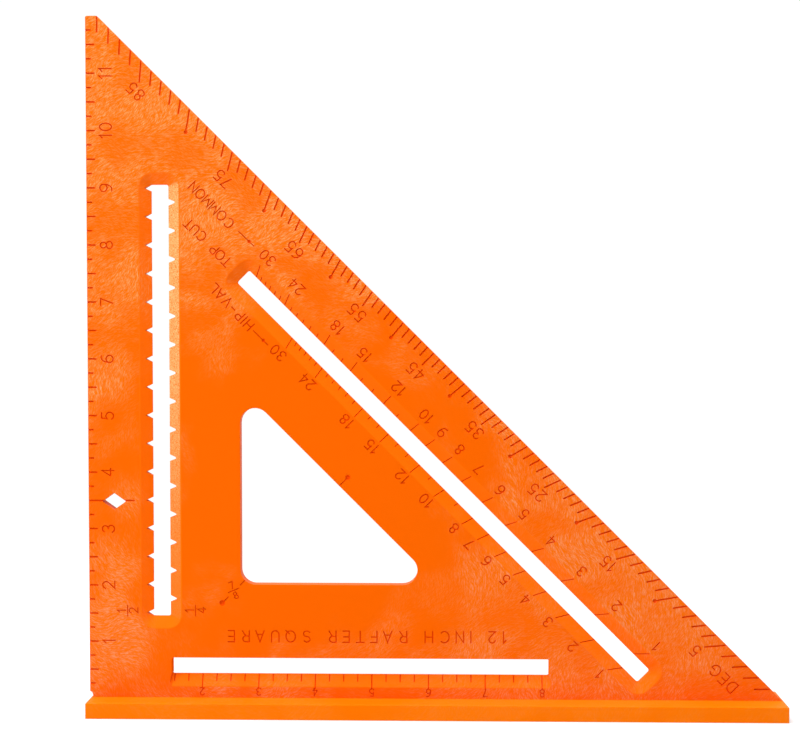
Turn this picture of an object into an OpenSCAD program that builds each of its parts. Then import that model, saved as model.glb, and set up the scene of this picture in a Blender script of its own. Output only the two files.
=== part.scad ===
// Speed square: a 12 inch rafter square moulded in orange plastic.
// The blade stands on its fence. X runs along the fence, Z is up, and the
// scales are on the face that looks towards -Y. Lengths are in millimetres.

/* [Blade] */
// Length of each leg of the triangle, along the fence and up the edge
leg = 309.9; // [300:0.1:320]
// Height of the blade above the fence, where its tip is cut off flat
blade_top = 304.8; // [290:0.1:306]
// Thickness of the blade
blade_t = 6.35; // [5:0.05:8]

/* [Fence] */
// Width of the fence across both faces of the blade
fence_w = 31.75; // [24:0.05:40]
// Height of the fence
fence_h = 6.8; // [4:0.05:10]
// How far the fence's end stands back from the blade's straight edge
fence_inset = 0.5; // [0:0.1:2]
// How far the fence runs past the point of the blade
fence_past = 0.5; // [0:0.1:2]
// Depth of the blade's foot in the top of the fence
foot_d = 1; // [0.5:0.1:3]
// How much narrower the foot is at its bottom, on each face
foot_taper = 0.5; // [0.2:0.1:1]

/* [Marking slots] */
// Width of the notched slot
notched_w = 7.6; // [6:0.1:10]
// Centre of the notched slot from the straight edge
notched_x = 32.5; // [28:0.1:34]
// Width of the slanted slot between the two rafter scales
slanted_w = 7.7; // [6:0.1:10]
// Slanted slot's centre line: its distance out from the pivot corner
slanted_out = 183; // [176:0.5:186]
// Length of the slanted slot
slanted_l = 253; // [200:1:256]
// Width of the level slot above the fence
level_w = 7.7; // [6:0.1:10]
// Centre height of the level slot above the fence
level_z = 14.3; // [11:0.1:16]
// How far the slope beside each slot runs back from its thin edge
slope_run = 5.2; // [3:0.1:6]
// Thickness left at the thin edge of each slot
edge_t = 1.1; // [0.8:0.1:2]
// Corner radius of the slots
slot_r = 1; // [0.5:0.1:1.5]

/* [Cutouts] */
// Straight edge to the near side of the triangular cutout
window_x = 68.3; // [60:0.1:75]
// Fence to the lower side of the triangular cutout
window_z = 51.2; // [45:0.1:60]
// Length of each leg of the triangular cutout
window_leg = 88.7; // [60:0.1:92]
// Corner radius of the triangular cutout
window_r = 6.7; // [2:0.1:10]
// Length of the diamond hole, across the rail
diamond_l = 10.6; // [8:0.1:12]
// Height of the diamond hole
diamond_h = 7.5; // [6:0.1:9]

/* [Graduations] */
// Cut the inch and degree graduations
graduated = true; // [true, false]
// Width of a graduation line
line_w = 0.7; // [0.4:0.05:0.9]
// Depth of a graduation line
line_d = 0.3; // [0.1:0.05:0.5]

/* [Hidden] */
inch = 25.4;
over = 1;
root2 = sqrt(2);
fence_l = leg + fence_past - fence_inset;
// The pivot corner of the blade, from the middle of the whole square
pivot_x = -(leg + fence_past) / 2;
tip_flat = leg - blade_top;
slope_d = (blade_t - edge_t) / 2;
// The notched slot runs a little past its end notches, at 9 and 1 1/2 inches
notched_low = 1.5 * inch - 1.5;
notched_high = 9 * inch + 1.5;
notch_d = 3;
notch_half = 1.4;
notch_tip = 0.5;
level_from = 1.453 * inch;
level_to = 8.122 * inch;
// Along the slanted slot, its middle from the foot of the line out from the pivot
slanted_mid = 42;
diamond_x = 11.5;
diamond_z = 88.5;
quarter_l = 2.3;
half_l = 3.8;
degree_l = 5;
five_l = 7.4;
ten_l = 8.6;
dot_r = 0.85;
// The small relief at the pivot corner, from the fence up to the straight edge
nick = [[1.7, 0], [0.9, 2.3], [0, 2.8]];
body_fn = 64;

function unit(v) = v / norm(v);
function corner_half(p, a, b) = acos(unit(a - p) * unit(b - p)) / 2;
function next(i, n) = (i + 1) % n;
function prev(i, n) = (i + n - 1) % n;
// Where the two sides of a corner meet its arc, in drawing order
function corner_ends(p, a, b, r) =
  [for (q = [a, b]) p + unit(q - p) * r / tan(corner_half(p, a, b))];
function corner_centre(p, a, b, r) =
  p + unit(unit(a - p) + unit(b - p)) * r / sin(corner_half(p, a, b));

// Points on an arc, from one angle to another
function arc_pts(c, r, from, to) = [for (k = [0 : 4]) let (a = from + (to - from) * k / 4)
  c + r * [cos(a), sin(a)]];

// A convex outline with every corner rounded to the radius r
module rounded(pts, r) {
  n = len(pts);
  polygon([for (i = [0 : n - 1])
    each corner_ends(pts[i], pts[prev(i, n)], pts[next(i, n)], r)]);
  for (i = [0 : n - 1])
    translate(corner_centre(pts[i], pts[prev(i, n)], pts[next(i, n)], r))
      circle(r, $fn = body_fn);
}

function box_pts(l, w) = [[-l / 2, -w / 2], [l / 2, -w / 2], [l / 2, w / 2], [-l / 2, w / 2]];

// From the flat drawing of the blade (x along the fence, y up, z towards the
// marked face) to its place, standing on the fence
module stand() {
  translate([pivot_x, 0, fence_h]) rotate([90, 0, 0]) children();
}

module through() {
  translate([0, 0, -blade_t / 2 - over]) linear_extrude(blade_t + 2 * over) children();
}

// One of the sloped sides of a slot: a wedge along x, from the thin edge to past the face
module slope_prism(l, w, run, rise) {
  translate([-l / 2, 0, 0]) rotate([90, 0, 90]) linear_extrude(l)
    polygon([[-w / 2, 0], [w / 2, 0], [w / 2 + run, rise], [-w / 2 - run, rise]]);
}

// The sloped recess round a slot on one face, with conical corners
module slot_recess(l, w) {
  rise = slope_d + over;
  run = slope_run * rise / slope_d;
  translate([0, 0, edge_t / 2]) {
    slope_prism(l - 2 * slot_r, w, run, rise);
    rotate(90) slope_prism(w - 2 * slot_r, l, run, rise);
    for (x = [-1, 1], y = [-1, 1])
      translate([x * (l / 2 - slot_r), y * (w / 2 - slot_r), 0])
        cylinder(h = rise, r1 = slot_r, r2 = slot_r + run, $fn = body_fn);
  }
}

// A slot with its long axis on x, sloped down to a thin edge from both faces
module marking_slot(l, w) {
  through() rounded(box_pts(l, w), slot_r);
  for (face = [0, 1]) mirror([0, 0, face]) slot_recess(l, w);
}

// The notched slot, drawn up its right side and down its left
module notched_slot() {
  left = notched_x - notched_w / 2;
  right = notched_x + notched_w / 2;
  through() polygon([
    [left, notched_low],
    each arc_pts([right - slot_r, notched_low + slot_r], slot_r, -90, 0),
    // Round-tipped notches at the odd quarter inches
    for (y = [1.75 : 0.5 : 8.75]) each [
      [right, y * inch - notch_half],
      each arc_pts([right + notch_d - notch_tip, y * inch], notch_tip, -60, 60),
      [right, y * inch + notch_half]],
    each arc_pts([right - slot_r, notched_high - slot_r], slot_r, 0, 90),
    // Sharp notches at the half inches; the end ones open into the ends of the slot
    for (y = [9 : -0.5 : 1.5]) each [
      [left, y == 9 ? notched_high : y * inch + notch_half],
      [left - notch_d, y * inch],
      if (y > 1.5) [left, y * inch - notch_half]]]);
  for (face = [0, 1]) mirror([0, 0, face])
    translate([notched_x, (notched_high + notched_low) / 2, 0])
      rotate(90) slot_recess(notched_high - notched_low, notched_w);
}

module slanted_slot() {
  rotate(-45) translate([slanted_mid, slanted_out, 0]) marking_slot(slanted_l, slanted_w);
}

// The level slot is sloped on its lower side only, where its inch marks are
module level_slot() {
  length = level_to - level_from;
  sloped = length - 2 * slot_r;
  rise = slope_d + over;
  run = slope_run * rise / slope_d;
  translate([(level_from + level_to) / 2, level_z, 0]) {
    through() rounded(box_pts(length, level_w), slot_r);
    for (face = [0, 1]) mirror([0, 0, face]) translate([-sloped / 2, 0, edge_t / 2])
      rotate([90, 0, 90]) linear_extrude(sloped)
        polygon([[0, 0], [-level_w / 2, 0], [-level_w / 2 - run, rise], [0, rise]]);
  }
}

module window() {
  through() rounded([[window_x, window_z], [window_x + window_leg, window_z],
    [window_x, window_z + window_leg]], window_r);
}

module diamond() {
  translate([diamond_x, diamond_z, 0]) through() polygon([[-diamond_l / 2, 0], [0, -diamond_h / 2],
    [diamond_l / 2, 0], [0, diamond_h / 2]]);
}

// The blade's outline, with the relief at the pivot corner
module outline() {
  polygon([
    [leg, 0],
    [tip_flat, blade_top],
    [0, blade_top],
    for (i = [len(nick) - 1 : -1 : 0]) nick[i]]);
}

// The tapered foot under the blade, from one end of the fence to the other; rise
// carries it on up past the top of the fence, and past both of its ends
module foot(rise) {
  translate([pivot_x + fence_inset - rise, 0, fence_h])
    rotate([90, 0, 90]) linear_extrude(fence_l + 2 * rise) polygon([
      if (rise > 0) [-blade_t / 2, rise],
      [-blade_t / 2, 0],
      [foot_taper - blade_t / 2, -foot_d],
      [blade_t / 2 - foot_taper, -foot_d],
      [blade_t / 2, 0],
      if (rise > 0) [blade_t / 2, rise]]);
}

// A straight groove from the point a to the point b on the marked face
module groove(a, b) {
  d = b - a;
  translate([a.x, a.y, blade_t / 2 - line_d]) rotate(atan2(d.y, d.x))
    translate([0, -line_w / 2, 0]) cube([norm(d), line_w, line_d + over]);
}

module inch_rule() {
  for (i = [1 : 47])
    groove([-over, i * inch / 4], [i % 2 == 0 ? half_l : quarter_l, i * inch / 4]);
}

function degree_mark(a) = a % 10 == 0 ? ten_l : a % 5 == 0 ? five_l : degree_l;
// The point on the ray at the angle a where its distance from the slanted edge is d
function on_ray(a, d) = (leg - d * root2) / (cos(a) + sin(a)) * [cos(a), sin(a)];

module protractor() {
  for (a = [1 : 89]) groove(on_ray(a, degree_mark(a)), on_ray(a, -over));
  for (a = [10 : 10 : 80]) translate([each on_ray(a, ten_l), blade_t / 2 - line_d])
    cylinder(h = line_d + over, r = dot_r, $fn = 24);
}

module marked_plate() {
  stand() difference() {
    translate([0, 0, -blade_t / 2]) linear_extrude(blade_t) outline();
    notched_slot();
    slanted_slot();
    level_slot();
    window();
    diamond();
    if (graduated) {
      inch_rule();
      protractor();
    }
  }
}

module blade() {
  color("darkorange") {
    marked_plate();
    foot(0);
  }
}

module fence() {
  color("orange") difference() {
    translate([pivot_x + fence_inset, -fence_w / 2, 0]) cube([fence_l, fence_w, fence_h]);
    foot(over);
  }
}

blade();
fence();
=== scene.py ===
import math
import time

import bmesh
import bpy
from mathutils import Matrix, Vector


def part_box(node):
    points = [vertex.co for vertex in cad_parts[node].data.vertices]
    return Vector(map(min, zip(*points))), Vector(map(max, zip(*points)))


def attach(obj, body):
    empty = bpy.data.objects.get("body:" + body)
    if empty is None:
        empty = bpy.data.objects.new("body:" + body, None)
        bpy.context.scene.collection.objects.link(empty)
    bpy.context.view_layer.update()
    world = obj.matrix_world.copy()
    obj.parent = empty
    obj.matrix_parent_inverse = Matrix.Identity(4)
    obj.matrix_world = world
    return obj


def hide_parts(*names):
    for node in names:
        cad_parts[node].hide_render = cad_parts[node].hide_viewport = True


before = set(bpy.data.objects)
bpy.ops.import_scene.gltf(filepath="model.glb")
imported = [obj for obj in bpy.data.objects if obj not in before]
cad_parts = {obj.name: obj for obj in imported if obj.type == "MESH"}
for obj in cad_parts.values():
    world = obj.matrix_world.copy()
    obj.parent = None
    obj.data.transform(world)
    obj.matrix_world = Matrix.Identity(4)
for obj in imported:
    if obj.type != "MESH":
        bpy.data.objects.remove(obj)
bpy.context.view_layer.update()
startTime = time.time()


def report(stage):
    print(f"{time.time() - startTime:6.1f} s  {stage}", flush=True)


# The drawing is in millimetres on the blade's own plane: x along the fence from the
# pivot corner, y up from the top of the fence, z out towards the marked face
mm = 0.001
inch = 25.4
overrun = 1  # mm, how far a cut runs on past the surface or edge that it opens
fencePast = 0.5  # mm, how far the fence runs on past the blade's point
bladeLow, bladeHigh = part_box("blade")
fenceLow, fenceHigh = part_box("fence")

blade = {
    "leg": (bladeHigh.x - bladeLow.x) / mm - fencePast,
    "top": (bladeHigh.z - fenceHigh.z) / mm,
    "thickness": (bladeHigh.y - bladeLow.y) / mm,
    "footDepth": 1.0,  # how far the blade goes down into the fence
    "tipRadius": 0.8,
    "nick": [(0, 2.8), (0.9, 2.3), (1.7, 0)],  # relief at the pivot corner
    "edgeRound": 0.15,
    "edgeSegments": 2,
    "roundAngle": 50,  # degrees; only sharper corners than this are rounded
    "sharpAngle": 17,  # degrees; softer corners than this are shaded smooth
}
half = blade["thickness"] / 2

cutouts = {
    "windowCorner": (68.3, 51.2),
    "windowLeg": 88.7,
    "windowRadius": 6.7,
    "diamondCentre": (11.5, 88.5),
    "diamondLength": 10.6,
    "diamondHeight": 7.5,
    "diamondRadius": 0.2,
}

slots = {
    "slopeRun": 5.2,  # slope beside a slot, measured along the face
    "edge": 1.1,  # thickness left at the thin edge
    "corner": 1.0,
    "lipRound": 1.4,  # radius where a slope meets the face
    "edgeRadius": 0.22,  # radius on the thin edge
    "slantOut": 183.0,  # the slanted slot's centre line, out from the pivot corner
    "slantMid": 42.0,  # and its middle, measured along that line
    "firstNotch": 3,  # in half inches up the straight edge
    "lastNotch": 18,
    "pastNotches": 1.5,  # how far the notched slot runs past its end notches
    "notchDepth": 3.0,
    "notchHalf": 1.4,
    "notchTip": 0.5,
    "notchInto": 1.0,  # how far a notch's cutter reaches into the slot
}
slopeDepth = half - slots["edge"] / 2
notchedLow = slots["firstNotch"] * inch / 2 - slots["pastNotches"]
notchedHigh = slots["lastNotch"] * inch / 2 + slots["pastNotches"]
levelFrom, levelTo = 1.453 * inch, 8.122 * inch

# name: centre x, centre y, length, width, turn in degrees of the slot's long axis
slotPlaces = {
    "notched": (32.5, (notchedLow + notchedHigh) / 2, notchedHigh - notchedLow, 7.6, 90),
    "slanted": (
        (slots["slantOut"] + slots["slantMid"]) / math.sqrt(2),
        (slots["slantOut"] - slots["slantMid"]) / math.sqrt(2),
        253.0,
        7.7,
        -45,
    ),
    "level": ((levelFrom + levelTo) / 2, 14.3, levelTo - levelFrom, 7.7, 0),
}


def toFrame(x, y, z):
    return Vector((bladeLow.x + x * mm, -z * mm, fenceHigh.z + y * mm))


def cosSin(degrees):
    return math.cos(math.radians(degrees)), math.sin(math.radians(degrees))


def arc(cx, cy, rx, ry, fromAngle, toAngle, steps):
    points = []
    for k in range(steps + 1):
        c, s = cosSin(fromAngle + (toAngle - fromAngle) * k / steps)
        points.append((cx + rx * c, cy + ry * s))
    return points


def oval(cx, cy, rx, ry, count=12):
    return arc(cx, cy, rx, ry, 0, 360 - 360 / count, count - 1)


def roundCorner(before, corner, after, radius, steps):
    p, a, b = Vector(corner), Vector(before), Vector(after)
    toA, toB = (a - p).normalized(), (b - p).normalized()
    halfAngle = toA.angle(toB) / 2
    centre = p + (toA + toB).normalized() * radius / math.sin(halfAngle)
    reach = radius / math.tan(halfAngle)
    first = p + toA * reach - centre
    last = p + toB * reach - centre
    turn = first.angle_signed(last)  # clockwise positive
    points = []
    for k in range(steps + 1):
        a = -turn * k / steps
        c, s = math.cos(a), math.sin(a)
        points.append((centre.x + first.x * c - first.y * s, centre.y + first.x * s + first.y * c))
    return points


def roundedOutline(corners, radii, steps):
    points = []
    for i, corner in enumerate(corners):
        if radii[i] == 0:
            points.append(tuple(corner))
            continue
        following = corners[(i + 1) % len(corners)]
        points += roundCorner(corners[i - 1], corner, following, radii[i], steps)
    return points


def newPiece(name, bm):
    mesh = bpy.data.meshes.new(name)
    bmesh.ops.recalc_face_normals(bm, faces=bm.faces)
    bm.to_mesh(mesh)
    bm.free()
    piece = bpy.data.objects.new(name, mesh)
    bpy.context.collection.objects.link(piece)
    return piece


def sheetPiece(name, outline, thickness):
    # a flat outline in the mid-plane, thickened both ways by Solidify
    bm = bmesh.new()
    bm.faces.new([bm.verts.new(toFrame(x, y, 0)) for x, y in outline])
    piece = newPiece(name, bm)
    solidify = piece.modifiers.new("thickness", "SOLIDIFY")
    solidify.thickness = thickness * mm
    solidify.offset = 0
    return piece


def skinRings(bm, rings):
    # closed solid through a row of closed rings of points in the frame
    count = len(rings[0])
    made = [[bm.verts.new(p) for p in ring] for ring in rings]
    for low, high in zip(made, made[1:]):
        for i in range(count):
            j = (i + 1) % count
            bm.faces.new((low[i], low[j], high[j], high[i]))
    bm.faces.new(made[0][::-1])
    bm.faces.new(made[-1])


def applyStack(piece):
    graph = bpy.context.evaluated_depsgraph_get()
    old = piece.data
    piece.data = bpy.data.meshes.new_from_object(piece.evaluated_get(graph))
    piece.modifiers.clear()
    bpy.data.meshes.remove(old)


def cut(piece, cutter, material):
    # the faces that the cut makes take the given material
    cutter.data.materials.append(material)
    boolean = piece.modifiers.new("cut", "BOOLEAN")
    boolean.operation = "DIFFERENCE"
    boolean.solver = "MANIFOLD"
    boolean.material_mode = "TRANSFER"
    boolean.object = cutter
    applyStack(piece)
    bpy.data.objects.remove(cutter)


# the blade's blank: outline, window and diamond, with every edge rounded
def bladeBlank(material):
    foot = -blade["footDepth"]
    tipFlat = blade["leg"] - blade["top"]
    nick = blade["nick"]
    corners = [
        (nick[-1][0], foot),
        (blade["leg"], foot),
        (blade["leg"], 0),
        (tipFlat, blade["top"]),
        (0, blade["top"]),
        *nick,
    ]
    radii = [0, 0, 0, blade["tipRadius"], blade["tipRadius"], 0, 0, 0]
    outline = roundedOutline(corners, radii, steps=4)
    piece = sheetPiece("bladeMoulding", outline, blade["thickness"])
    piece.data.materials.append(material)
    for cutter in windowCutter(), diamondCutter():
        cut(piece, cutter, material)
    bevel = piece.modifiers.new("edges", "BEVEL")
    bevel.width = blade["edgeRound"] * mm
    bevel.segments = blade["edgeSegments"]
    bevel.limit_method = "ANGLE"
    bevel.angle_limit = math.radians(blade["roundAngle"])
    bevel.use_clamp_overlap = False
    applyStack(piece)
    return piece


def windowCutter():
    x, y = cutouts["windowCorner"]
    leg, radius = cutouts["windowLeg"], cutouts["windowRadius"]
    outline = roundedOutline([(x, y), (x + leg, y), (x, y + leg)], [radius] * 3, steps=10)
    return sheetPiece("windowCutter", outline, 2 * blade["thickness"])


def diamondCutter():
    x, y = cutouts["diamondCentre"]
    across, up = cutouts["diamondLength"] / 2, cutouts["diamondHeight"] / 2
    corners = [(x - across, y), (x, y - up), (x + across, y), (x, y + up)]
    outline = roundedOutline(corners, [cutouts["diamondRadius"]] * 4, steps=2)
    return sheetPiece("diamondCutter", outline, 2 * blade["thickness"])


# the three marking slots; two are sloped all round, to a thin edge from both faces
def slotProfile():
    # (distance out from the thin edge, height) from the middle of the blade to past its face
    run, edge = slots["slopeRun"], slots["edge"] / 2
    onFace = (run + overrun, half)
    points = roundCorner((0, 0), (0, edge), (run, half), slots["edgeRadius"], steps=2)
    points += roundCorner((0, edge), (run, half), onFace, slots["lipRound"], steps=3)
    points.append((points[-1][0], half + overrun))
    return points


def slotCutter(name):
    # the level slot's walls are straight; ruleSlopeCutter makes its one slope
    x, y, length, width, turn = slotPlaces[name]
    c, s = cosSin(turn)
    profile = [(0, half + overrun)] if name == "level" else slotProfile()
    profile = [(out, -z) for out, z in reversed(profile)] + profile
    rings = []
    for out, z in profile:
        a, b = length / 2 + out, width / 2 + out
        corners = [(-a, -b), (a, -b), (a, b), (-a, b)]
        ring = roundedOutline(corners, [slots["corner"] + out] * 4, steps=8)
        rings.append([toFrame(x + u * c - v * s, y + u * s + v * c, z) for u, v in ring])
    bm = bmesh.new()
    skinRings(bm, rings)
    return newPiece(name + "Cutter", bm)


ruleSlope = {
    "inside": 0.6,  # how far inside the slot it starts
    "shortOf": 0.02,  # how far short of the slot's ends its full section stops
    "runOut": 0.9,  # how far past the ends it dies away
    "apexOut": 0.75,  # where it shrinks to, as a share of the slope's run
    "apexAbove": 0.3,  # and how far above the face
    "apexSize": 0.02,
}


def ruleSlopeCutter():
    # the level slot is sloped on its lower side only, where its inch marks are
    x, y, length, width, _ = slotPlaces["level"]
    inside = -ruleSlope["inside"]
    slope = slotProfile()[2:]  # from the thin edge outwards
    section = [(inside, slots["edge"] / 2), *slope, (inside, half + overrun)]
    apex = Vector((ruleSlope["apexOut"] * slots["slopeRun"], half + ruleSlope["apexAbove"]))
    shrunk = [apex.lerp(Vector(point), ruleSlope["apexSize"]) for point in section]
    full, end = length / 2 - ruleSlope["shortOf"], length / 2 + ruleSlope["runOut"]
    stations = [(-end, shrunk), (-full, section), (full, section), (end, shrunk)]
    edge = y - width / 2
    bm = bmesh.new()
    for face in (-1, 1):
        skinRings(bm, [[toFrame(x + u, edge - out, face * z) for out, z in ring] for u, ring in stations])
    return newPiece("ruleSlopeCutter", bm)


def notchCutter():
    # sharp notches at the half inches on the left, round-tipped ones between them on the right
    centre, _, _, width, _ = slotPlaces["notched"]
    left, right = centre - width / 2, centre + width / 2
    depth, tip, into = slots["notchDepth"], slots["notchTip"], slots["notchInto"]
    flare = slots["notchHalf"] * (depth + into) / depth
    outlines = []
    for k in range(slots["firstNotch"], slots["lastNotch"] + 1):
        y = k * inch / 2
        low, high, point = (left + into, y - flare), (left + into, y + flare), (left - depth, y)
        outline = [low, high, point]
        if k == slots["firstNotch"]:  # the end notches open into the ends of the slot
            outline = [(left + into, notchedLow), high, point, (left, notchedLow)]
        if k == slots["lastNotch"]:
            outline = [(left + into, notchedHigh), (left, notchedHigh), point, low]
        outlines.append(outline)
    for k in range(slots["firstNotch"], slots["lastNotch"]):
        y = (k + 0.5) * inch / 2
        nose = arc(right + depth - tip, y, tip, tip, -60, 60, 4)
        outlines.append([(right - into, y - flare), *nose, (right - into, y + flare)])
    bm = bmesh.new()
    for outline in outlines:
        skinRings(bm, [[toFrame(x, y, z) for x, y in outline] for z in (-half - overrun, half + overrun)])
    return newPiece("notchCutter", bm)


# single-stroke letters and figures, one unit high
letterWidth = {"1": 0.3, "I": 0.02, "-": 0.45, " ": 0.35, "M": 0.8, "N": 0.66, "L": 0.5, "E": 0.55, "F": 0.52}
letterWidth.update(dict.fromkeys("COQG", 0.84))
letterWidth.update(dict.fromkeys("HUTPVARSD", 0.7))
figureWidth = 0.6


def widthOf(character):
    return letterWidth.get(character, figureWidth)


def glyph(character):
    # strokes in a box one unit high; each is (points, closed)
    if character == "9":
        return [([(figureWidth - x, 1 - y) for x, y in points], closed) for points, closed in glyph("6")]
    stem = ([(0, 0), (0, 1)], False)
    bowl = [(0, 1), (0.32, 1), *arc(0.32, 0.74, 0.26, 0.26, 70, -70, 5), (0.32, 0.48), (0, 0.48)]
    belly = arc(0.28, 0.5, 0.42, 0.5, 70, -70, 7)
    return {
        "0": [(oval(0.3, 0.5, 0.3, 0.5), True)],
        "1": [([(0, 0.76), (0.22, 1), (0.22, 0)], False)],
        "2": [([*arc(0.3, 0.71, 0.28, 0.29, 170, -38, 8), (0.02, 0), (0.6, 0)], False)],
        "3": [
            (arc(0.29, 0.75, 0.26, 0.25, 160, -90, 9), False),
            (arc(0.29, 0.26, 0.3, 0.26, 90, -160, 9), False),
        ],
        "4": [([(0.44, 0), (0.44, 1), (0, 0.28)], False), ([(0, 0.28), (0.62, 0.28)], False)],
        "5": [([(0.54, 1), (0.1, 1), *arc(0.28, 0.32, 0.3, 0.32, 138, -150, 10)], False)],
        "6": [(oval(0.3, 0.3, 0.3, 0.3), True), (arc(0.44, 0.34, 0.44, 0.66, 74, 176, 5), False)],
        "7": [([(0, 1), (0.58, 1), (0.2, 0)], False)],
        "8": [(oval(0.3, 0.745, 0.24, 0.255), True), (oval(0.3, 0.245, 0.3, 0.245), True)],
        "A": [([(0, 0), (0.37, 1), (0.74, 0)], False), ([(0.13, 0.34), (0.61, 0.34)], False)],
        "C": [(arc(0.42, 0.5, 0.42, 0.5, 48, 312, 12), False)],
        "D": [([(0, 0), (0, 1), (0.28, 1), *belly, (0.28, 0)], True)],
        "E": [([(0.55, 1), (0, 1), (0, 0), (0.55, 0)], False), ([(0, 0.52), (0.5, 0.52)], False)],
        "F": [([(0.55, 1), (0, 1), (0, 0)], False), ([(0, 0.52), (0.48, 0.52)], False)],
        "G": [([*arc(0.42, 0.5, 0.42, 0.5, 48, 345, 13), (0.84, 0.48), (0.5, 0.48)], False)],
        "H": [stem, ([(0, 0.5), (0.66, 0.5)], False), ([(0.66, 0), (0.66, 1)], False)],
        "I": [stem],
        "L": [([(0, 1), (0, 0), (0.5, 0)], False)],
        "M": [([(0, 0), (0, 1), (0.4, 0.2), (0.8, 1), (0.8, 0)], False)],
        "N": [([(0, 0), (0, 1), (0.66, 0), (0.66, 1)], False)],
        "O": [(oval(0.42, 0.5, 0.42, 0.5, count=18), True)],
        "P": [stem, (bowl, False)],
        "Q": [(oval(0.42, 0.5, 0.42, 0.5, count=18), True), ([(0.52, 0.26), (0.86, -0.04)], False)],
        "R": [stem, (bowl, False), ([(0.32, 0.48), (0.62, 0)], False)],
        "S": [(arc(0.3, 0.75, 0.27, 0.25, 30, 255, 8) + arc(0.3, 0.26, 0.3, 0.26, 80, -150, 8), False)],
        "T": [([(0.34, 0), (0.34, 1)], False), ([(0, 1), (0.68, 1)], False)],
        "U": [([(0, 1), *arc(0.33, 0.33, 0.33, 0.33, 180, 360, 8), (0.66, 1)], False)],
        "V": [([(0, 1), (0.36, 0), (0.72, 1)], False)],
        "-": [([(0, 0.5), (0.45, 0.5)], False)],
        " ": [],
    }[character]


engraving = {
    "tick": (0.75, 0.42),  # width and depth
    "letter": (0.56, 0.36),
    "fine": (0.46, 0.36),
    "floor": 0.55,  # a groove's floor as a share of its width
    "rise": 0.3,  # how far the cutters stand above the surface
    "dotFloor": 1.3,  # a dot's floor is this much wider for its size
    "mitreLimit": 2.6,
    "layers": 4,  # strokes that touch are cut in different layers
}
layers = {face: [[] for _ in range(engraving["layers"])] for face in (1, -1)}

marks = {
    "quarter": 2.3,
    "half": 3.8,
    "degree": 5.0,
    "five": 7.4,
    "ten": 8.6,
    "dot": 0.85,  # radius
    "inchFigure": 0.215 * inch,
    "inchFigureOut": 0.348 * inch,  # from the straight edge to the middle of a figure
    "degreeFigure": 0.2 * inch,
    "degreeLine": 11.56 * inch,  # x + y all along the line that the degree figures stand on
    "degreeWord": (11.165 * inch, 0.396 * inch),
    "startInside": 0.3,  # how far inside a slot's edge its marks start
    "shortRafter": 0.07 * inch,
    "rafterFigure": 0.18 * inch,
    "levelShort": 0.11 * inch,
    "levelLong": 0.24 * inch,
    "levelFigure": 0.13 * inch,
    "levelFigureUp": 0.113 * inch,
}


def surfaceHeight(x, y):
    # how far the surface here stands from the middle of the blade
    for name, (cx, cy, length, width, turn) in slotPlaces.items():
        c, s = cosSin(turn)
        u = abs((x - cx) * c + (y - cy) * s) - length / 2
        v = abs((y - cy) * c - (x - cx) * s) - width / 2
        out = max(u, v)
        if name == "level" and (u > 0 or y > cy):
            continue
        if -overrun < out < slots["slopeRun"]:
            return slots["edge"] / 2 + slopeDepth * out / slots["slopeRun"]
    return half


def stroke(points, layer=0, tool="tick", closed=False, face=1):
    layers[face][layer].append((points, *engraving[tool], closed))


def dot(x, y, radius, face=1):
    layers[face][1].append(([(x, y)], 2 * radius, engraving["tick"][1], False))


def write(text, x, y, height, angle, tool="letter", gap=0.3, face=1, spread=None):
    # text centred on (x, y), read towards angle; spread stretches its length to a given size
    total = sum(map(widthOf, text)) + gap * (len(text) - 1)
    if spread is not None and len(text) > 1:
        gap += (spread / height - total) / (len(text) - 1)
        total = spread / height
    c, s = cosSin(angle)
    along = -total / 2
    for character in text:
        for index, (points, closed) in enumerate(glyph(character)):
            placed = []
            for u, v in points:
                a, b = (along + u) * height, (v - 0.5) * height
                placed.append((x + a * c - b * s, y + a * s + b * c))
            stroke(placed, 1 + index % (engraving["layers"] - 1), tool, closed, face)
        along += widthOf(character) + gap


def onRay(angle, distance):
    # where a ray from the pivot is this far inside the slanted edge
    c, s = cosSin(angle)
    reach = (blade["leg"] - distance * math.sqrt(2)) / (c + s)
    return reach * c, reach * s


def onFace(point, face):
    # the back face is marked like the front one, seen from behind
    return face * point[0], point[1]


def inchRule():
    for face in layers:
        for k in range(1, 48):
            length = marks["quarter"] if k % 2 else marks["half"]
            stroke([(-overrun * face, k * inch / 4), (face * length, k * inch / 4)], face=face)
        for n in range(1, 12):
            out = face * marks["inchFigureOut"]
            write(str(n), out, n * inch, marks["inchFigure"], face * 90, face=face)


def degreeScale():
    line, height = marks["degreeLine"], marks["degreeFigure"]
    for face in layers:
        for angle in range(1, 90):
            length = marks["ten"] if angle % 10 == 0 else marks["five"] if angle % 5 == 0 else marks["degree"]
            start, stop = onFace(onRay(angle, length), face), onFace(onRay(angle, -overrun), face)
            stroke([start, stop], face=face)
            if angle % 10 == 0:
                dot(*start, marks["dot"], face)
        for angle in range(5, 90, 10):
            # about half way between the tick's own direction and square to the edge
            c, s = cosSin(angle)
            tick = Vector(onRay(angle, marks["five"]))
            square = tick + Vector((1, 1)) * (line - tick.x - tick.y) / 2
            ray = Vector((c, s)) * line / (c + s)
            write(str(angle), *onFace((square + ray) / 2, face), height, face * 135, face=face)
        write("DEG", *onFace(marks["degreeWord"], face), height, face * 135, gap=0.35, face=face)


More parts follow.
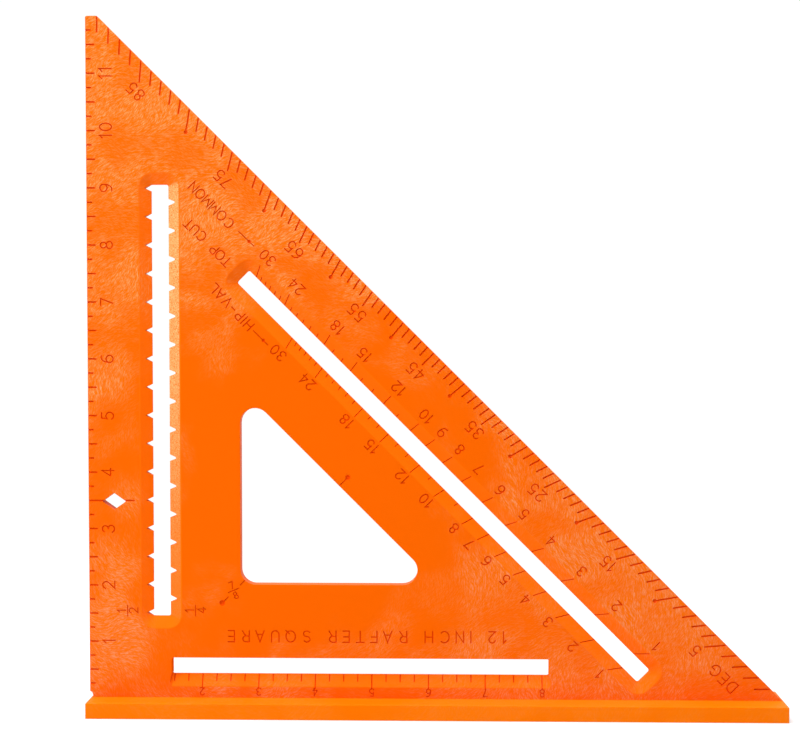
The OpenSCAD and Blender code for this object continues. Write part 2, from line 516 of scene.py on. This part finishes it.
# the rise is counted over 12 for common rafters and over 17 for hips and valleys
rafterScales = {
    "common": {
        "run": 12,
        "side": 1,  # which side of the slanted slot, outwards positive
        "figures": (*range(1, 11), 12, 15, 18, 24, 30),
        "line": 10.955 * inch,  # x + y all along the line that the figures stand on
        "lean": 0,
    },
    "hip": {
        "run": 17,
        "side": -1,
        "figures": (*range(1, 9), 10, 12, 15, 18, 24, 30),
        "line": 9.47 * inch,
        "lean": 0.03 * inch,  # the figures stand this far to the left of their marks, and up
    },
}


def rafterScale(run, side, figures, line, lean):
    # marks on the rays whose slope is a rise of n over the run, from the slot's thin edge outwards
    cx, cy, _, width, _ = slotPlaces["slanted"]
    start = cx + cy + side * (width / 2 - marks["startInside"]) * math.sqrt(2)
    for n in range(1, 31):
        a = math.atan2(n, run)
        share = math.cos(a) + math.sin(a)
        depth = slots["slopeRun"] if n in figures else marks["shortRafter"]
        stop = cx + cy + side * (width / 2 + depth) * math.sqrt(2)
        ends = [(r / share * math.cos(a), r / share * math.sin(a)) for r in (start, stop)]
        stroke(ends, tool="fine")
        if n in figures:
            x, y = ends[1]
            shift = (line - x - y) / 2
            write(str(n), x + shift - lean, y + shift + lean, marks["rafterFigure"], 135)


def levelRule():
    # quarter inches below the level slot, from 1 1/2 to 8 inch, upside down like the captions
    _, cy, _, width, _ = slotPlaces["level"]
    edge = cy - width / 2
    start = edge + marks["startInside"]
    for k in range(6, 33):
        x = k * inch / 4
        if k % 4:
            stroke([(x, start), (x, edge - marks["levelShort"])], tool="letter")
        else:
            stroke([(x, start), (x, edge - slots["slopeRun"]), (x, edge - marks["levelLong"])], tool="letter")
            write(str(k // 4), x, marks["levelFigureUp"], marks["levelFigure"], 180, "fine")


captions = {
    "height": 0.17,
    # the centres of the first and the last letter, in inches
    "between": {
        "COMMON": ((2.512, 8.376), (1.898, 9.002)),
        "TOP": ((2.465, 7.707), (2.241, 7.931)),
        "CUT": ((2.029, 8.154), (1.804, 8.368)),
        "HIP-VAL": ((2.853, 6.589), (2.248, 7.237)),
    },
    "arrows": [((2.681, 8.231), (2.949, 7.973)), ((2.930, 6.496), (3.188, 6.240))],
    "arrowDotAt": 0.68,  # share of the arrow's length
    "arrowDot": 0.75,  # radius
    "title": "12 INCH RAFTER SQUARE",
    "titlePlace": (4.915, 1.1),
    "titleHeight": 0.2,
    "titleLength": 4.9,
}


def writeBetween(text, start, end):
    # text from the centre of its first letter to the centre of its last
    a, b = Vector(start) * inch, Vector(end) * inch
    height = captions["height"] * inch
    ends = (widthOf(text[0]) + widthOf(text[-1])) / 2 * height
    middle = (a + b) / 2
    angle = math.degrees(math.atan2(b.y - a.y, b.x - a.x))
    write(text, middle.x, middle.y, height, angle, spread=(b - a).length + ends)


def arrow(start, end):
    a, b = Vector(start) * inch, Vector(end) * inch
    stroke([tuple(a), tuple(b)], tool="fine")
    dot(*a.lerp(b, captions["arrowDotAt"]), captions["arrowDot"])


def writeCaptions():
    for text, (start, end) in captions["between"].items():
        writeBetween(text, start, end)
    for start, end in captions["arrows"]:
        arrow(start, end)
    x, y = captions["titlePlace"]
    height, spread = captions["titleHeight"] * inch, captions["titleLength"] * inch
    write(captions["title"], x * inch, y * inch, height, 180, spread=spread)


fractions = {
    # upper or left figure, lower or right one, and the bar's place in inches
    "upright": [("1", "2", (0.681, 1.543)), ("1", "4", (1.887, 1.55))],
    "leaning": ("7", "8", (2.565, 1.915)),
    "lean": 22,  # degrees
    "height": 0.155 * inch,
    "gap": 0.105 * inch,  # from the bar to the middle of a figure
    "barHalf": 0.095 * inch,
    "lowerShift": 0.2,
    "leaningHeight": 0.12 * inch,
    "leaningGap": 0.095 * inch,
    "leaningBarHalf": 0.1 * inch,
}


def fraction(top, bottom, place):
    # read upwards, so its bar is upright
    x, y = place[0] * inch, place[1] * inch
    height, gap, reach = fractions["height"], fractions["gap"], fractions["barHalf"]
    write(top, x - gap, y, height, 90, "fine")
    stroke([(x, y - reach), (x, y + reach)], tool="fine")
    write(bottom, x + gap, y + fractions["lowerShift"], height, 90, "fine")


def leaningFraction(top, bottom, place):
    # one figure above a leaning bar and one below it, read along the fence
    x, y = place[0] * inch, place[1] * inch
    lean = fractions["lean"]
    c, s = cosSin(lean)
    height, gap, reach = fractions["leaningHeight"], fractions["leaningGap"], fractions["leaningBarHalf"]
    stroke([(x - reach * c, y - reach * s), (x + reach * c, y + reach * s)], tool="fine")
    write(top, x - gap * s, y + gap * c, height, lean, "fine")
    write(bottom, x + gap * s, y - gap * c, height, lean, "fine")


# lines, leaders and dots: places in inches
sights = {
    "line": 3.5,
    "lineTo": 0.81,
    "lineFrom": 2,  # mm, from the straight edge
    "overlap": 0.6,  # mm, into the diamond
    "windowDot": (2.36, 1.69),
    "windowDotRadius": 1.2,  # mm
    "slantDot": (4.585, 3.915),
    "slantDotRadius": 1.1,  # mm
    "leaders": [
        ((2.38, 1.71), (2.47, 1.8)),
        ((2.68, 2.01), (2.86, 2.19)),
        ((4.575, 3.905), (4.43, 3.76)),
    ],
}


def sightLines():
    x, y = cutouts["diamondCentre"][0], sights["line"] * inch
    reach = cutouts["diamondLength"] / 2 - sights["overlap"]
    stroke([(sights["lineFrom"], y), (x - reach, y)], 1)
    stroke([(x + reach, y), (sights["lineTo"] * inch, y)], 1)
    for name in ("windowDot", "slantDot"):
        x, y = sights[name]
        dot(x * inch, y * inch, sights[name + "Radius"])
    for start, end in sights["leaders"]:
        stroke([(x * inch, y * inch) for x, y in (start, end)], tool="fine")


def strokeSides(flat, closed):
    # across the stroke at each of its points, longer at a mitred corner
    count = len(flat)
    sides = []
    for i in range(count):
        ahead = flat[(i + 1) % count] - flat[i] if closed or i < count - 1 else flat[i] - flat[i - 1]
        behind = flat[i] - flat[i - 1] if closed or i > 0 else ahead
        ahead, behind = ahead.normalized(), behind.normalized()
        across = Vector((-ahead.y - behind.y, ahead.x + behind.x)).normalized()
        square = Vector((-ahead.y, ahead.x))
        sides.append(across / max(across.dot(square), 1 / engraving["mitreLimit"]))
    return sides


def roundEnd(tip, side, spread, height):
    points = []
    for angle in (-45, -90, -135):
        c, s = cosSin(angle)
        turned = Vector((side.x * c - side.y * s, side.x * s + side.y * c))
        points.append((*(tip + turned * spread), height))
    return points


def dotSolid(bm, x, y, low, high, depth, face):
    z = surfaceHeight(face * x, y)
    rings = []
    for radius, height in ((low * engraving["dotFloor"], z - depth), (high, z + engraving["rise"])):
        circle = oval(x, y, radius, radius, count=24)
        rings.append([toFrame(face * px, py, face * height) for px, py in circle])
    skinRings(bm, rings)


def strokeSolid(bm, points, width, depth, closed, face):
    # a tapered trench along the stroke, standing a little out of the surface
    rise, floor = engraving["rise"], engraving["floor"]
    low, high = width / 2 * floor, width / 2 * (1 + (1 - floor) * rise / depth)
    if len(points) == 1:
        dotSolid(bm, *points[0], low, high, depth, face)
        return
    flat = [Vector(p) for p in points]
    heights = [surfaceHeight(face * x, y) for x, y in points]
    sides = strokeSides(flat, closed)

    def row(spread, lift):
        left = [(*(p + side * spread), h + lift) for p, side, h in zip(flat, sides, heights)]
        right = [(*(p - side * spread), h + lift) for p, side, h in zip(flat, sides, heights)]
        capEnd, capStart = [], []
        if not closed:
            capEnd = roundEnd(flat[-1], sides[-1], spread, heights[-1] + lift)
            capStart = roundEnd(flat[0], -sides[0], spread, heights[0] + lift)
        made = []
        for part in (left, right, capEnd, capStart):
            made.append([bm.verts.new(toFrame(face * x, y, face * z)) for x, y, z in part])
        return made

    rows = row(low, -depth), row(high, rise)
    count = len(points)
    for left, right, capEnd, capStart in rows:
        for i in range(count if closed else count - 1):
            j = (i + 1) % count
            bm.faces.new((left[i], left[j], right[j], right[i]))
        if not closed:
            bm.faces.new([left[-1], *capEnd, right[-1]])
            bm.faces.new([right[0], *capStart, left[0]])
    if closed:
        loops = list(zip(*rows))[:2]
    else:
        loops = [[[*left, *capEnd, *right[::-1], *capStart] for left, right, capEnd, capStart in rows]]
    for first, second in loops:
        for i in range(len(first)):
            j = (i + 1) % len(first)
            bm.faces.new((first[i], first[j], second[j], second[i]))


def engrave(piece, material):
    for face, rows in layers.items():
        for number, strokes in enumerate(rows):
            if not strokes:
                continue
            bm = bmesh.new()
            for points, width, depth, closed in strokes:
                strokeSolid(bm, points, width, depth, closed, face)
            cut(piece, newPiece(f"engraving{number}", bm), material)


fence = {
    "edgeRound": 0.2,
    "fillet": 0.15,  # radius where the fence's top meets the blade
    "filletRunOut": 1.5,  # length over which the fillet dies away at each end
    "filletGrowth": (0.35, 0.7, 1),  # its share of the full radius along that length
    "filletInto": 0.4,  # how far the fillets' tops run on inside the blade
    "leastRound": 0.01,
    "leastFillet": 0.001,
}


def fenceSection(inset, fillet):
    # one cross-section, as (y, z) in the frame, in metres
    r = max(fence["edgeRound"] * mm - inset, fence["leastRound"] * mm)
    f = max(fillet, fence["leastFillet"]) * mm
    front, back = fenceLow.y + inset, fenceHigh.y - inset
    low, high = fenceLow.z + inset, fenceHigh.z - inset
    face, shoulder = half * mm, (half - fence["filletInto"]) * mm
    section = arc(front + r, low + r, r, r, 180, 270, 4)
    section += arc(back - r, low + r, r, r, 270, 360, 4)
    section += arc(back - r, high - r, r, r, 0, 90, 4)
    section += arc(face + f, high + f, f, f, 270, 180, 4)
    section += [(shoulder, high + f), (-shoulder, high + f)]
    section += arc(-face - f, high + f, f, f, 0, -90, 4)
    section += arc(front + r, high - r, r, r, 90, 180, 4)
    return section


def fencePiece():
    r, growth = fence["edgeRound"], fence["filletGrowth"]
    # distance from the end, how far the section is drawn in there, and the fillet's share
    stations = [(r - x, r - y, 0) for x, y in arc(0, 0, r, r, 0, 90, 4)]
    for k, share in enumerate(growth, 1):
        stations.append((r + fence["filletRunOut"] * k / len(growth), 0, share))
    rings = [(fenceLow.x + along * mm, inset * mm, share) for along, inset, share in stations]
    rings += [(fenceHigh.x - along * mm, inset * mm, share) for along, inset, share in reversed(stations)]
    bm = bmesh.new()
    sections = []
    for x, inset, share in rings:
        section = fenceSection(inset, share * fence["fillet"])
        sections.append([Vector((x, y, z)) for y, z in section])
    skinRings(bm, sections)
    return newPiece("fenceMoulding", bm)


nodeGap = 180  # between nodes in the shader editor


def addNode(tree, kind, **settings):
    node = tree.nodes.new(kind)
    node.location.x = nodeGap * len(tree.nodes)
    for key, value in settings.items():
        setattr(node, key, value)
    return node


def feed(tree, socket, value):
    # a socket takes a link, a colour or a number
    if isinstance(value, bpy.types.NodeSocket):
        tree.links.new(value, socket)
    elif isinstance(value, tuple):
        socket.default_value = (*value, 1)
    else:
        socket.default_value = value


def mathNode(tree, operation, *values):
    node = addNode(tree, "ShaderNodeMath", operation=operation)
    for socket, value in zip(node.inputs, values):
        feed(tree, socket, value)
    return node.outputs[0]


def product(tree, first, *others):
    for other in others:
        first = mathNode(tree, "MULTIPLY", first, other)
    return first


def total(tree, first, *others):
    for other in others:
        first = mathNode(tree, "ADD", first, other)
    return first


def components(tree, vector):
    node = addNode(tree, "ShaderNodeSeparateXYZ")
    tree.links.new(vector, node.inputs[0])
    return node.outputs


def vectorLength(tree, vector):
    node = addNode(tree, "ShaderNodeVectorMath", operation="LENGTH")
    tree.links.new(vector, node.inputs[0])
    return node.outputs["Value"]


def ramp(tree, value, low, high, floor=0, shape="SMOOTHSTEP"):
    # from floor to 1 as the value goes from low to high
    node = addNode(tree, "ShaderNodeMapRange", interpolation_type=shape)
    node.inputs["From Min"].default_value = low
    node.inputs["From Max"].default_value = high
    node.inputs["To Min"].default_value = floor
    tree.links.new(value, node.inputs["Value"])
    return node.outputs[0]


def noise(tree, vector, size, detail=2):
    node = addNode(tree, "ShaderNodeTexNoise")
    node.inputs["Scale"].default_value = 1 / size
    node.inputs["Detail"].default_value = detail
    tree.links.new(vector, node.inputs["Vector"])
    return node.outputs["Fac"]


def blend(tree, factor, first, second):
    node = addNode(tree, "ShaderNodeMix", data_type="RGBA")
    for name, value in (("Factor", factor), ("A", first), ("B", second)):
        feed(tree, node.inputs[name], value)
    return node.outputs["Result"]


streaks = {
    "length": 2.6,  # mm, along the flow
    "width": 0.42,  # mm, across it
    "depth": 2.0,  # mm, into the plastic
    "detail": 3,
    "roughness": 0.75,
    "turns": 6,  # directions blended to follow the flow
    "turnPower": 4,  # how firmly the nearest direction is kept
    "shift": (3.7, 1.3, 2.1),  # between one direction's noise and the next
    "swing": 1.3,  # how far slow noise turns the flow, in radians
    "swingSize": 26.0,  # mm
    "sharpen": (0.45, 0.64),
    "patchSize": 26.0,  # mm
    "patches": (0.36, 0.62),
    "leastPatch": 0.28,
    "calmCentre": (98, 95),  # mm, in the window
    "calmRadii": (62, 118),  # mm, where the streaks start and where they are full
    "calmWobble": 120,  # mm
    "strands": ((0.7, 0.27, 0.13), (0.68, 0.37, 0.145)),  # pinker low down, yellower towards the tip
    "strandHeights": (0.03, 0.2),  # metres above the ground
    "roughening": 0.16,
    "grainSize": 0.5,  # mm, of the fine moulded grain
    "grainDepth": 0.05,  # mm
}


def aroundWindow(group, vector):
    # the direction that circles the window here, and the distance from its middle
    x, y = streaks["calmCentre"]
    centre = toFrame(x, y, 0)
    away = addNode(group, "ShaderNodeVectorMath", operation="SUBTRACT")
    away.inputs[1].default_value = (centre.x, 0, centre.z)
    group.links.new(vector, away.inputs[0])
    along, _, up = components(group, away.outputs[0])
    flat = addNode(group, "ShaderNodeCombineXYZ")
    group.links.new(along, flat.inputs[0])
    group.links.new(up, flat.inputs[1])
    circling = mathNode(group, "ADD", mathNode(group, "ARCTAN2", up, along), math.pi / 2)
    return circling, vectorLength(group, flat.outputs[0])


def flowNoise(group, vector, angle):
    # noise drawn out along the flow: a blend of several fixed directions
    parts, weights = None, None
    for k in range(streaks["turns"]):
        way = math.pi * k / streaks["turns"]
        turn = addNode(group, "ShaderNodeMapping")
        turn.inputs["Rotation"].default_value = (0, way, 0)
        group.links.new(vector, turn.inputs[0])
        stretch = addNode(group, "ShaderNodeMapping")
        size = (streaks["length"], streaks["depth"], streaks["width"])
        stretch.inputs["Scale"].default_value = [1 / (s * mm) for s in size]
        stretch.inputs["Location"].default_value = [s * k for s in streaks["shift"]]
        group.links.new(turn.outputs[0], stretch.inputs[0])
        grain = addNode(group, "ShaderNodeTexNoise")
        grain.inputs["Scale"].default_value = 1
        grain.inputs["Detail"].default_value = streaks["detail"]
        grain.inputs["Roughness"].default_value = streaks["roughness"]
        group.links.new(stretch.outputs[0], grain.inputs["Vector"])
        near = mathNode(group, "COSINE", product(group, mathNode(group, "SUBTRACT", angle, way), 2))
        near = mathNode(group, "POWER", product(group, total(group, near, 1), 0.5), streaks["turnPower"])
        part = product(group, grain.outputs["Fac"], near)
        parts = total(group, parts, part) if parts else part
        weights = total(group, weights, near) if weights else near
    return mathNode(group, "DIVIDE", parts, weights)


def streakGroup():
    # moulded-in fibre streaks that swirl round the window, as a mask from 0 to 1
    group = bpy.data.node_groups.new("fibreStreaks", "ShaderNodeTree")
    group.interface.new_socket("Vector", in_out="INPUT", socket_type="NodeSocketVector")
    for name in ("Streaks", "Patches", "Fine"):
        group.interface.new_socket(name, in_out="OUTPUT", socket_type="NodeSocketFloat")
    vector = addNode(group, "NodeGroupInput").outputs["Vector"]
    circling, distance = aroundWindow(group, vector)
    slow = noise(group, vector, streaks["swingSize"] * mm, detail=1.5)
    swing = product(group, mathNode(group, "SUBTRACT", slow, 0.5), 4 * streaks["swing"])
    flow = flowNoise(group, vector, total(group, circling, swing))
    patch = noise(group, vector, streaks["patchSize"] * mm, detail=3)
    wobble = product(group, mathNode(group, "SUBTRACT", patch, 0.5), streaks["calmWobble"] * mm)
    near, far = streaks["calmRadii"]
    calm = ramp(group, total(group, distance, wobble), near * mm, far * mm)
    mask = product(group, calm, ramp(group, patch, *streaks["patches"], streaks["leastPatch"]))
    end = addNode(group, "NodeGroupOutput")
    group.links.new(product(group, ramp(group, flow, *streaks["sharpen"]), mask), end.inputs["Streaks"])
    group.links.new(mask, end.inputs["Patches"])
    group.links.new(flow, end.inputs["Fine"])
    return group


# painted highlight: a pale colour, broken up by grain, on the slopes that face the straight edge and the
# light from that side
paintedHighlight = {
    "colour": (0.9, 0.42, 0.17),
    "facing": (-0.4, -0.45),  # how far a slope faces the straight edge before it shows
    "grit": (0.3, 0.7),
    "within": 50,  # mm from the straight edge
    "heights": (50, 150),  # mm above the fence, from faint to full
    "faint": 0.15,
}


def frostedColour(tree, place, colour):
    # painted highlight, broken up by grain, on the notched slot's slope that faces the straight edge
    spot = place.outputs["Object"]
    x, _, z = components(tree, spot)
    facing = components(tree, place.outputs["Normal"])[0]
    share = ramp(tree, facing, *paintedHighlight["facing"], shape="LINEAR")
    grit = ramp(tree, noise(tree, spot, streaks["grainSize"] * mm), *paintedHighlight["grit"], shape="LINEAR")
    beside = mathNode(tree, "LESS_THAN", x, toFrame(paintedHighlight["within"], 0, 0).x)
    low, high = (toFrame(0, y, 0).z for y in paintedHighlight["heights"])
    rising = ramp(tree, z, low, high, paintedHighlight["faint"], shape="LINEAR")
    return blend(tree, product(tree, share, grit, beside, rising), colour, paintedHighlight["colour"])


# body: colours of the calm and of the streaked areas; streaked: strength of the streaks;
# gloss and tint: of the reflections; grain: strength of the moulded grain
finishes = {
    "bladePlastic": {
        "body": ((0.74, 0.104, 0.0004), (0.74, 0.126, 0.001)),
        "streaked": 0.8,
        "roughness": 0.36,
        "gloss": 0.04,
        "tint": (1, 0.5, 0.05),
        "grain": 0.2,
    },
    # the level slot's walls: the same plastic without sheen, with a lighter body that is painted light
    "wallPaintedLightPlastic": {
        "body": ((0.8, 0.15, 0.0006), (0.8, 0.15, 0.001)),
        "streaked": 0.1,
        "roughness": 0.6,
        "gloss": 0,
        "tint": (1, 0.5, 0.05),
        "grain": 0.1,
    },
    # the slopes: the same plastic with a stronger moulded grain, and a paler body that is painted light; it
    # also carries the painted highlight
    "slopePaintedLightPlastic": {
        "body": ((0.86, 0.124, 0.0006), (0.86, 0.132, 0.001)),
        "streaked": 0.3,
        "roughness": 0.4,
        "gloss": 0.06,
        "tint": (1, 0.7, 0.3),
        "grain": 0.6,
        "hasPaintedHighlight": True,
    },
    # the grooves: the same plastic with a darker body, painted shade in the engraved recesses
    "groovePaintedShadePlastic": {
        "body": ((0.7, 0.054, 0.0006), (0.7, 0.056, 0.001)),
        "streaked": 0.06,
        "roughness": 0.5,
        "gloss": 0.03,
        "tint": (1, 0.5, 0.1),
        "grain": 0.2,
    },
    "fencePlastic": {
        "body": ((0.77, 0.145, 0.0004), (0.77, 0.157, 0.001)),
        "streaked": 0.14,
        "roughness": 0.45,
        "gloss": 0.02,
        "tint": (1, 0.5, 0.05),
        "grain": 0.2,
    },
}


def plastic(name, fibre):
    finish = finishes[name]
    material = bpy.data.materials.new(name)
    material.use_nodes = True
    tree = material.node_tree
    shader = tree.nodes["Principled BSDF"]
    place = addNode(tree, "ShaderNodeTexCoord")
    spot = place.outputs["Object"]
    flow = addNode(tree, "ShaderNodeGroup", node_tree=fibre)
    tree.links.new(spot, flow.inputs["Vector"])
    height = components(tree, spot)[2]
    strand = blend(tree, ramp(tree, height, *streaks["strandHeights"]), *streaks["strands"])
    plain = blend(tree, flow.outputs["Patches"], *finish["body"])
    colour = blend(tree, product(tree, flow.outputs["Streaks"], finish["streaked"]), plain, strand)
    # painted highlight on the slopes that face the straight edge
    if finish.get("hasPaintedHighlight"):
        colour = frostedColour(tree, place, colour)
    speckle = noise(tree, spot, streaks["grainSize"] * mm)
    relief = addNode(tree, "ShaderNodeBump")
    relief.inputs["Strength"].default_value = finish["grain"]
    relief.inputs["Distance"].default_value = streaks["grainDepth"] * mm
    tree.links.new(total(tree, flow.outputs["Fine"], speckle), relief.inputs["Height"])
    roughness = total(tree, product(tree, flow.outputs["Fine"], streaks["roughening"]), finish["roughness"])
    feed(tree, shader.inputs["Base Color"], colour)
    feed(tree, shader.inputs["Roughness"], roughness)
    feed(tree, shader.inputs["Normal"], relief.outputs["Normal"])
    feed(tree, shader.inputs["Specular IOR Level"], finish["gloss"])
    feed(tree, shader.inputs["Specular Tint"], finish["tint"])
    return material


def finishShading(piece):
    for polygon in piece.data.polygons:
        polygon.use_smooth = True
    piece.data.set_sharp_from_angle(angle=math.radians(blade["sharpAngle"]))
    weighted = piece.modifiers.new("normals", "WEIGHTED_NORMAL")
    weighted.keep_sharp = True
    weighted.weight = 100


report("frame loaded")
fibreStreaks = streakGroup()
plastics = {name: plastic(name, fibreStreaks) for name in finishes}

bladeBody = bladeBlank(plastics["bladePlastic"])
report("blank cut and rounded")
# the slopes take the copy of the plastic with painted light
cut(bladeBody, slotCutter("notched"), plastics["slopePaintedLightPlastic"])
cut(bladeBody, slotCutter("slanted"), plastics["slopePaintedLightPlastic"])
# the level slot's walls take the copy of the plastic with painted light
cut(bladeBody, slotCutter("level"), plastics["wallPaintedLightPlastic"])
cut(bladeBody, ruleSlopeCutter(), plastics["slopePaintedLightPlastic"])
cut(bladeBody, notchCutter(), plastics["bladePlastic"])
report("slots cut")
inchRule()
degreeScale()
for scale in rafterScales.values():
    rafterScale(**scale)
levelRule()
writeCaptions()
for upright in fractions["upright"]:
    fraction(*upright)
leaningFraction(*fractions["leaning"])
sightLines()
# the grooves take the copy of the plastic with painted shade
engrave(bladeBody, plastics["groovePaintedShadePlastic"])
report(f"engraved: {len(bladeBody.data.polygons)} faces")
finishShading(bladeBody)
fenceBody = fencePiece()
fenceBody.data.materials.append(plastics["fencePlastic"])
finishShading(fenceBody)
report("fence made")

for piece, node, finish in ((bladeBody, "blade", "blade_plastic"), (fenceBody, "fence", "fence_plastic")):
    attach(piece, "root")
    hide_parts(node)


stage = {
    "floorSize": 12.0,
    "paper": (0.5, 0.49, 0.49),
    "mottle": 0.99,  # the darker patches of the paper
    "mottleSize": 1 / 3,
    "glow": 0.3,  # keeps the paper near the square from greying
    "fade": (0.2, 0.8),  # metres from the middle, where the paper turns to glow
    "backdrop": (1.02, 1.02, 1.02),
    "behind": 1.3,  # strength of the surroundings by direction
    "above": 0.4,
    "beside": 0.35,
    "around": 0.08,
}

# place, what it points at, size and power
softboxes = {
    "overhead": ((-0.2, -0.4, 1.5), (0, 0, 0), (1.2, 1.2), 38),
    "strip": ((-1.2, -0.56, 0.3), (-0.05, 0, 0.15), (0.2, 1.1), 12),
}

cameraSet = {
    "place": (0.006571, -0.735718, 0.178802),
    "turn": (87.9413, 0.0562, 1.7166),  # degrees
    "lens": 74.191,
    "sensor": 36,
}


def floorMaterial():
    # lit like paper near the square, and glowing evenly far off so that no horizon shows
    material = bpy.data.materials.new("paleFloor")
    material.use_nodes = True
    tree = material.node_tree
    shader = tree.nodes["Principled BSDF"]
    spot = addNode(tree, "ShaderNodeTexCoord").outputs["Object"]
    far = ramp(tree, vectorLength(tree, spot), *stage["fade"])
    darker = tuple(stage["mottle"] * c for c in stage["paper"])
    paper = blend(tree, noise(tree, spot, stage["mottleSize"]), stage["paper"], darker)
    glow = total(tree, product(tree, far, 1 - stage["glow"]), stage["glow"])
    feed(tree, shader.inputs["Base Color"], blend(tree, far, paper, (0, 0, 0)))
    feed(tree, shader.inputs["Emission Color"], stage["backdrop"])
    feed(tree, shader.inputs["Emission Strength"], glow)
    feed(tree, shader.inputs["Roughness"], 1)
    feed(tree, shader.inputs["Specular IOR Level"], 0)
    return material


def makeFloor():
    bm = bmesh.new()
    size = stage["floorSize"] / 2
    corners = [(-size, -size), (size, -size), (size, size), (-size, size)]
    bm.faces.new([bm.verts.new((x, y, 0)) for x, y in corners])
    floor = newPiece("floor", bm)
    floor.data.materials.append(floorMaterial())


def softbox(name, place, target, size, power):
    light = bpy.data.lights.new(name, "AREA")
    light.shape = "RECTANGLE"
    light.size, light.size_y = size
    light.energy = power
    lamp = bpy.data.objects.new(name, light)
    lamp.location = place
    lamp.rotation_mode = "QUATERNION"
    lamp.rotation_quaternion = (Vector(target) - Vector(place)).to_track_quat("-Z", "Y")
    bpy.context.collection.objects.link(lamp)


def makeWorld():
    # bright behind the square, softer above and to its right, dim where the camera stands
    world = bpy.data.worlds.new("studio")
    bpy.context.scene.world = world
    world.use_nodes = True
    tree = world.node_tree
    tree.nodes.clear()
    x, y, z = components(tree, addNode(tree, "ShaderNodeTexCoord").outputs["Generated"])
    parts = []
    for direction, name in ((y, "behind"), (z, "above"), (x, "beside")):
        parts.append(product(tree, mathNode(tree, "MAXIMUM", direction, 0), stage[name]))
    lit = addNode(tree, "ShaderNodeBackground")
    feed(tree, lit.inputs["Strength"], total(tree, *parts, stage["around"]))
    seen = addNode(tree, "ShaderNodeBackground")
    feed(tree, seen.inputs["Color"], stage["backdrop"])
    mix = addNode(tree, "ShaderNodeMixShader")
    sources = (addNode(tree, "ShaderNodeLightPath").outputs["Is Camera Ray"], lit.outputs[0], seen.outputs[0])
    for socket, source in zip(mix.inputs, sources):
        tree.links.new(source, socket)
    tree.links.new(mix.outputs[0], addNode(tree, "ShaderNodeOutputWorld").inputs[0])


def makeCamera():
    data = bpy.data.cameras.new("camera")
    data.lens = cameraSet["lens"]
    data.sensor_width = cameraSet["sensor"]
    camera = bpy.data.objects.new("camera", data)
    camera.location = cameraSet["place"]
    camera.rotation_euler = [math.radians(a) for a in cameraSet["turn"]]
    bpy.context.collection.objects.link(camera)
    bpy.context.scene.camera = camera


makeFloor()
for name, settings in softboxes.items():
    softbox(name, *settings)
makeWorld()
makeCamera()
view = bpy.context.scene.view_settings
view.view_transform = "Standard"
view.look = "None"
view.exposure = 0
report("stage set")
